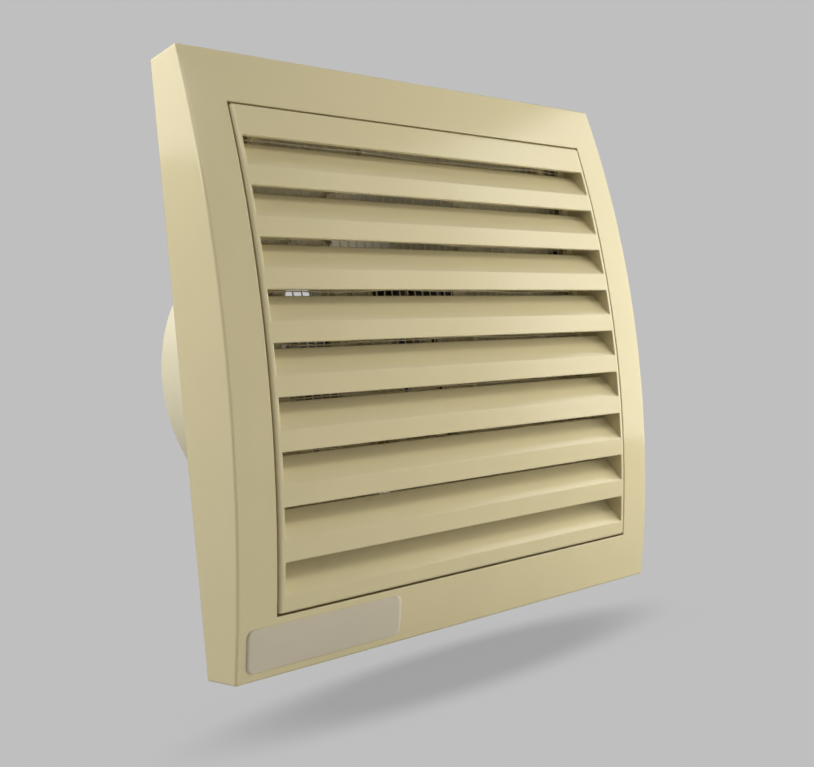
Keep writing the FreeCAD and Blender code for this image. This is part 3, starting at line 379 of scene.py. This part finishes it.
@dataclass
class BareLabel:
    """Bare film label on the lower left of the cover's front."""

    arc: FrontArc
    left: float = -72.3
    right: float = -26.3
    bottom: float = -73.0
    top: float = -62.9
    corner: float = 1.8
    gap: float = 0.01
    thickness: float = 0.12
    columns: int = 48
    rows: int = 25

    def outline(self, u: np.ndarray, v: np.ndarray) -> tuple[np.ndarray, np.ndarray]:
        """Map the unit square onto a rectangle with round corners.

        Each row of the square is as long as the rounded rectangle is at that height.

        Args:
            u: First parameter, from 0 to 1.
            v: Second parameter, from 0 to 1.

        Returns:
            x and z in millimetres.
        """
        height = self.bottom + (self.top - self.bottom) * v
        inside = np.minimum(height - self.bottom, self.top - height)
        short = np.clip(self.corner - inside, 0.0, self.corner)
        pull = self.corner - np.sqrt(self.corner ** 2 - short ** 2)
        width = self.right - self.left - 2 * pull
        return self.left + pull + width * u, height

    def build(self) -> bpy.types.Object:
        """Build the label as a thin closed film on the curved front.

        Returns:
            The label's piece.
        """
        ease = 0.5 - 0.5 * np.cos(np.linspace(0, np.pi, self.rows))
        u, v = np.meshgrid(np.linspace(0, 1, self.columns), ease)
        across, height = self.outline(u, v)
        under = self.arc.depth(height) - self.gap
        face = np.stack([across, under - self.thickness, height], axis=-1).reshape(-1, 3)
        back = np.stack([across, under, height], axis=-1).reshape(-1, 3)
        count = self.rows * self.columns
        sheet = grid_faces(self.rows, self.columns)
        number = np.arange(count).reshape(self.rows, self.columns)
        rim = np.concatenate([number[0, :-1], number[:-1, -1], number[-1, :0:-1],
                              number[:0:-1, 0]])
        after = np.roll(rim, -1)
        edge = np.stack([rim, rim + count, after + count, after], axis=-1)
        faces = np.concatenate([sheet, sheet[:, ::-1] + count, edge])
        return make_piece("bare_label", np.concatenate([face, back]) * MM, faces, LABEL_FILM,
                          Body.HOUSING)


@dataclass
class Dressing:
    """Finishes of the solids that keep their own shapes."""

    frame: dict[str, Any]

    def build(self) -> None:
        """Give every solid the finish of its material slot."""
        by_slot = {finish.name: finish for finish in SLOT_FINISHES}
        parts = self.frame["record"]["subparts"]
        for part in parts:
            solid = self.frame["nodes"][part["node"]]
            solid.data.materials.clear()
            solid.data.materials.append(by_slot[part["material_slot"]].material())
        LOG.info("%d solids dressed", len(parts))


@dataclass(frozen=True)
class Panel:
    """Soft lamp panel that faces a point, in metres and watts.

    A panel that isn't mirrored lights the object but doesn't show in its glossy surfaces.
    """

    name: str
    place: Triple
    width: float
    height: float
    power: float
    aim: Triple = (0.0, 0.0, 0.0)
    mirrored: bool = True

    def hang(self, colour: Triple) -> None:
        """Put the panel into the scene, unseen by the camera itself.

        Args:
            colour: Colour of the light.
        """
        lamp = bpy.data.lights.new(self.name, "AREA")
        lamp.shape = "RECTANGLE"
        lamp.size, lamp.size_y, lamp.energy = self.width, self.height, self.power
        lamp.color = colour
        held = bpy.data.objects.new(self.name, lamp)
        held.visible_camera = False
        held.visible_glossy = self.mirrored
        held.location = self.place
        facing = Vector(self.aim) - Vector(self.place)
        held.rotation_euler = facing.to_track_quat("-Z", "Y").to_euler()
        bpy.context.scene.collection.objects.link(held)


PANELS = (
    Panel("left_back_panel", (-0.26, 0.314, 0.308), 0.40, 0.33, 0.60, (-0.07, 0.0, 0.04)),
    Panel("left_panel", (-0.30, 0.06, 0.23), 0.24, 0.24, 0.90),
    Panel("right_tall_panel", (0.3625, -0.169, 0.10), 0.30, 0.375, 0.33, (0.05, -0.02, 0.10)),
    Panel("right_near_panel", (0.25, -0.11, 0.06), 0.18, 0.26, 0.16, (0.05, -0.02, 0.03)),
    Panel("right_front_panel", (0.19, -0.20, 0.10), 0.14, 0.18, 0.055, (0.05, 0.0, -0.02)),
    Panel("right_low_panel", (0.24, -0.13, 0.0), 0.18, 0.14, 0.24, (0.05, -0.02, 0.0),
          mirrored=False),
    Panel("right_floor_panel", (0.30, -0.10, -0.045), 0.20, 0.07, 0.07, (0.05, -0.02, -0.045),
          mirrored=False),
    Panel("front_panel", (0.0, -0.42, 0.38), 0.40, 0.16, 0.67),
    Panel("front_low_panel", (0.04, -0.30, -0.055), 0.30, 0.05, 0.13, (0.0, 0.0, -0.06),
          mirrored=False),
)


def grey_level(level: float) -> Rgba:
    """Give a grey as a shader colour.

    Args:
        level: Linear light of the grey.

    Returns:
        Red, green, blue and a full alpha.
    """
    return (level, level, level, 1.0)


@dataclass
class Studio:
    """Camera, lamps, grey surroundings and the floor with its painted shadow.

    The camera is in millimetres and pixels, the shadow in metres and radians.
    """

    place: Triple = (-202.81, -230.93, -20.74)
    forward: Triple = (0.664, 0.744, 0.069)
    down: Triple = (-0.035, 0.123, -0.992)
    focal: float = 1080.67
    centre: tuple[float, float] = (422.99, 349.74)
    sensor: float = 36.0
    near_limit: float = 0.01
    floor_height: float = -86.0
    floor_half: float = 6.0
    grey: float = 0.5209
    room_light: float = 0.05
    room_colour: Rgba = (1.0, 0.99, 0.97, 1.0)
    lamp_colour: Triple = (1.0, 0.985, 0.90)
    painted_shade_level: float = 0.95
    painted_shade_reach: float = 0.05
    painted_shade_range: tuple[float, float] = (0.25, 0.95)
    painted_shade_samples: int = 16
    shadow_depth: float = 0.71
    shadow_centre: tuple[float, float] = (-0.0029, -0.0103)
    shadow_size: tuple[float, float] = (0.0991, 0.0302)
    shadow_turn: float = 0.062
    shadow_edge: float = 0.566

    def camera(self) -> None:
        """Set the camera that was fitted to the photograph."""
        lens = bpy.data.cameras.new("camera")
        lens.sensor_fit = "HORIZONTAL"
        lens.sensor_width = self.sensor
        lens.lens = self.focal * self.sensor / IMAGE_WIDTH
        lens.shift_x = (IMAGE_WIDTH / 2 - self.centre[0]) / IMAGE_WIDTH
        lens.shift_y = (self.centre[1] - IMAGE_HEIGHT / 2) / IMAGE_WIDTH
        lens.clip_start = self.near_limit
        back = -Vector(self.forward).normalized()
        up = -Vector(self.down)
        up = (up - back * up.dot(back)).normalized()
        right = up.cross(back)
        turn = Matrix((right, up, back)).transposed().to_4x4()
        camera = bpy.data.objects.new("camera", lens)
        camera.matrix_world = Matrix.Translation(Vector(self.place) * MM) @ turn
        bpy.context.scene.collection.objects.link(camera)
        bpy.context.scene.camera = camera

    def seen(self, tree: bpy.types.NodeTree) -> bpy.types.NodeSocket:
        """Tell the rays that see a colour from the rays that carry light.

        Args:
            tree: Node tree that gets the test.

        Returns:
            Socket that is one for camera, mirrored and refracted rays.
        """
        path = tree.nodes.new("ShaderNodeLightPath")
        mirrored = tree.nodes.new("ShaderNodeMath")
        mirrored.operation = "MAXIMUM"
        either = tree.nodes.new("ShaderNodeMath")
        either.operation = "MAXIMUM"
        tree.links.new(path.outputs["Is Glossy Ray"], mirrored.inputs[0])
        tree.links.new(path.outputs["Is Transmission Ray"], mirrored.inputs[1])
        tree.links.new(path.outputs["Is Camera Ray"], either.inputs[0])
        tree.links.new(mirrored.outputs["Value"], either.inputs[1])
        return either.outputs["Value"]

    def surroundings(self) -> None:
        """Light all from a dim room, with the flat grey of the picture behind the object."""
        world = bpy.data.worlds.new("surroundings")
        bpy.context.scene.world = world
        world.use_nodes = True
        tree = world.node_tree
        tree.nodes.clear()
        room = tree.nodes.new("ShaderNodeBackground")
        room.inputs["Color"].default_value = self.room_colour
        room.inputs["Strength"].default_value = self.room_light
        flat = tree.nodes.new("ShaderNodeBackground")
        flat.inputs["Color"].default_value = grey_level(self.grey)
        mix = tree.nodes.new("ShaderNodeMixShader")
        out = tree.nodes.new("ShaderNodeOutputWorld")
        tree.links.new(self.seen(tree), mix.inputs["Fac"])
        tree.links.new(room.outputs["Background"], mix.inputs[1])
        tree.links.new(flat.outputs["Background"], mix.inputs[2])
        tree.links.new(mix.outputs["Shader"], out.inputs["Surface"])

    def floor(self) -> None:
        """Lay the plain grey floor, whose colour carries a painted shadow under the object."""
        side = np.array([-1.0, 1.0]) * self.floor_half
        x, y = np.meshgrid(side, side)
        points = np.stack([x, y, np.full_like(x, self.floor_height * MM)], axis=-1).reshape(-1, 3)
        mesh = bpy.data.meshes.new("floor")
        mesh.from_pydata(points.tolist(), [], grid_faces(2, 2).tolist())
        floor = bpy.data.objects.new("floor", mesh)
        bpy.context.scene.collection.objects.link(floor)
        mesh.materials.append(self.floor_paint())

    def floor_paint(self) -> bpy.types.Material:
        """Paint the floor flat grey for the eye, with a painted shadow ellipse under the object and painted
        shade where a piece is close above.

        Returns:
            The floor's material.
        """
        paint = bpy.data.materials.new("floor_grey")
        paint.use_nodes = True
        tree = paint.node_tree
        tree.nodes.clear()
        matt = tree.nodes.new("ShaderNodeBsdfDiffuse")
        matt.inputs["Color"].default_value = grey_level(self.grey)
        glow = tree.nodes.new("ShaderNodeEmission")
        both = tree.nodes.new("ShaderNodeVectorMath")
        both.operation = "MULTIPLY"
        mix = tree.nodes.new("ShaderNodeMixShader")
        out = tree.nodes.new("ShaderNodeOutputMaterial")
        tree.links.new(self.shadow_spot(tree), both.inputs[0])
        tree.links.new(self.painted_near_shade(tree), both.inputs[1])
        tree.links.new(both.outputs["Vector"], glow.inputs["Color"])
        tree.links.new(self.seen(tree), mix.inputs["Fac"])
        tree.links.new(matt.outputs["BSDF"], mix.inputs[1])
        tree.links.new(glow.outputs["Emission"], mix.inputs[2])
        tree.links.new(mix.outputs["Shader"], out.inputs["Surface"])
        return paint

    def shadow_spot(self, tree: bpy.types.NodeTree) -> bpy.types.NodeSocket:
        """Paint the soft ellipse of shadow under the object.

        Args:
            tree: Node tree of the floor.

        Returns:
            Socket with the grey of the floor, darker inside the ellipse.
        """
        # Painted shadow: a fixed soft ellipse darkens the floor's grey for camera and glossy rays.
        place = tree.nodes.new("ShaderNodeTexCoord").outputs["Object"]
        spot = tree.nodes.new("ShaderNodeMapping")
        spot.vector_type = "TEXTURE"
        spot.inputs["Location"].default_value = (*self.shadow_centre, self.floor_height * MM)
        spot.inputs["Rotation"].default_value = (0.0, 0.0, self.shadow_turn)
        spot.inputs["Scale"].default_value = (*self.shadow_size, 1.0)
        fade = tree.nodes.new("ShaderNodeTexGradient")
        fade.gradient_type = "SPHERICAL"
        shadow = tree.nodes.new("ShaderNodeValToRGB")
        shadow.color_ramp.interpolation = "EASE"
        shadow.color_ramp.elements[0].color = grey_level(self.grey)
        shadow.color_ramp.elements[1].position = self.shadow_edge
        shadow.color_ramp.elements[1].color = grey_level(self.grey * self.shadow_depth)
        tree.links.new(place, spot.inputs["Vector"])
        tree.links.new(spot.outputs["Vector"], fade.inputs["Vector"])
        tree.links.new(fade.outputs["Fac"], shadow.inputs["Fac"])
        return shadow.outputs["Color"]

    def painted_near_shade(self, tree: bpy.types.NodeTree) -> bpy.types.NodeSocket:
        """Paint faint shade onto the floor's colour where a piece is close above it.

        Args:
            tree: Node tree of the floor.

        Returns:
            Socket with the factor on the floor's grey.
        """
        # Painted shade: ambient occlusion darkens the floor's emission colour under nearby pieces.
        near = tree.nodes.new("ShaderNodeAmbientOcclusion")
        near.samples = self.painted_shade_samples
        near.inputs["Distance"].default_value = self.painted_shade_reach
        painted_shade_level = tree.nodes.new("ShaderNodeValToRGB")
        painted_shade_level.color_ramp.elements[0].position = self.painted_shade_range[0]
        painted_shade_level.color_ramp.elements[0].color = grey_level(self.painted_shade_level)
        painted_shade_level.color_ramp.elements[1].position = self.painted_shade_range[1]
        tree.links.new(near.outputs["AO"], painted_shade_level.inputs["Fac"])
        return painted_shade_level.outputs["Color"]

    def build(self) -> None:
        """Set up camera, floor and light."""
        self.camera()
        self.floor()
        self.surroundings()
        for panel in PANELS:
            panel.hang(self.lamp_colour)
        bpy.context.scene.view_settings.view_transform = "Standard"


def main() -> None:
    """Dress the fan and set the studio."""
    logging.basicConfig(level=logging.INFO, format="%(name)s %(message)s")
    for leftover in list(bpy.data.objects):
        bpy.data.objects.remove(leftover)
    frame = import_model()
    Studio().build()
    Dressing(frame).build()
    InsectNet().build()
    BareLabel(FrontArc()).build()


if __name__ == "__main__":
    main()
